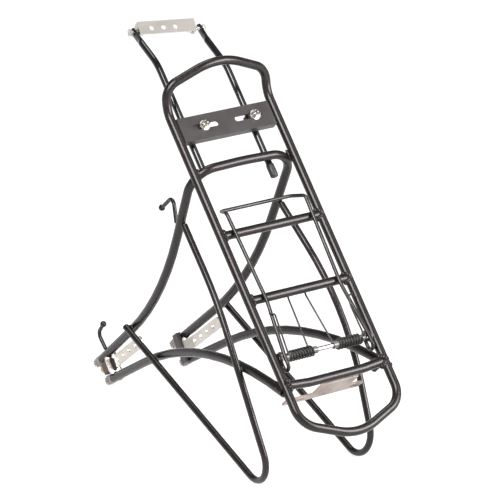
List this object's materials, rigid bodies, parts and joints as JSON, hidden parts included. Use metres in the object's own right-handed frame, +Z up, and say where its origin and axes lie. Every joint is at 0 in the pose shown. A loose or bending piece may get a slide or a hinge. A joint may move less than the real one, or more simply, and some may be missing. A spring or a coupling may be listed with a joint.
{
  "type": "bicycle rear luggage rack",
  "caption": "Tubular rear luggage rack for a bicycle, with a sprung clip on the deck, sliding front stays with a mounting bracket, and sliding feet.",
  "frame": {"origin": "centre of the bounding box at ground level", "axes": "+X to the rack's right, +Y towards the bicycle's front, +Z up, with the rack standing on its side rods and rear legs"},
  "size_m": [0.1532, 0.458, 0.4435],
  "materials": {
    "powder_black": "satin black powder coat",
    "gloss_black": "gloss black paint",
    "black_steel": "satin black powder coat",
    "nickel": "bright nickel plate",
    "spring_steel": "drawn wire",
    "yellow_zinc": "yellow zinc plate",
    "soft_black": "moulded plastic"
  },
  "bodies": {
    "rack": {"front_bow": "powder_black", "rear_bow": "powder_black", "front_cross_tube": "powder_black", "middle_cross_tube_1": "powder_black", "middle_cross_tube_2": "powder_black", "rear_cross_tube": "powder_black", "left_side_tube": "powder_black", "left_front_leg": "powder_black", "left_rear_leg": "powder_black", "left_pannier_rod": "powder_black", "left_axle_lug": "black_steel", "left_sleeve": "soft_black", "left_spring": "spring_steel", "right_side_tube": "powder_black", "right_front_leg": "powder_black", "right_rear_leg": "powder_black", "right_pannier_rod": "powder_black", "right_axle_lug": "black_steel", "right_sleeve": "soft_black", "right_spring": "spring_steel", "front_plate": "black_steel", "left_stay_clamp": "spring_steel", "left_clamp_washer": "nickel", "left_clamp_nut": "nickel", "right_stay_clamp": "spring_steel", "right_clamp_washer": "nickel", "right_clamp_nut": "nickel", "clip_axle": "spring_steel", "reflector_bracket": "nickel", "upper_pump_peg": "powder_black", "lower_pump_peg": "powder_black"},
    "stays": {"left_stay": "gloss_black", "right_stay": "gloss_black", "left_stay_cap": "soft_black", "right_stay_cap": "soft_black"},
    "bracket": {"mounting_bracket": "nickel", "left_bracket_bolt": "nickel", "right_bracket_bolt": "nickel", "left_bracket_nut": "nickel", "right_bracket_nut": "nickel"},
    "clip": {"bail": "spring_steel", "left_spring_arm": "spring_steel", "right_spring_arm": "spring_steel"},
    "left_foot": {"left_foot_bar": "nickel", "left_foot_saddle": "black_steel", "left_foot_bolt": "yellow_zinc"},
    "right_foot": {"right_foot_bar": "nickel", "right_foot_saddle": "black_steel", "right_foot_bolt": "yellow_zinc"}
  },
  "joints": [
    {"name": "stay_slide", "type": "slide", "parent": "rack", "child": "stays", "axis": [0, 0.6791, 0.734], "range_m": [-0.02, 0.035]},
    {"name": "bracket_tilt", "type": "hinge", "parent": "stays", "child": "bracket", "pos_m": [-0.0026, 0.13955, 0.42915], "axis": [0.9847, -0.1618, -0.0641], "range_deg": [-60, 15]},
    {"name": "clip_hinge", "type": "hinge", "parent": "rack", "child": "clip", "pos_m": [0, -0.16206, 0.15285], "axis": [1, 0, 0], "range_deg": [0, 100], "stiffness_Nm_per_rad": 0.6, "springref_deg": -51.57},
    {"name": "left_foot_slide", "type": "slide", "parent": "rack", "child": "left_foot", "axis": [0, 0.7957, -0.6056], "range_m": [-0.005, 0.004]},
    {"name": "right_foot_slide", "type": "slide", "parent": "rack", "child": "right_foot", "axis": [0, 0.7957, -0.6056], "range_m": [-0.005, 0.004]}
  ]
}
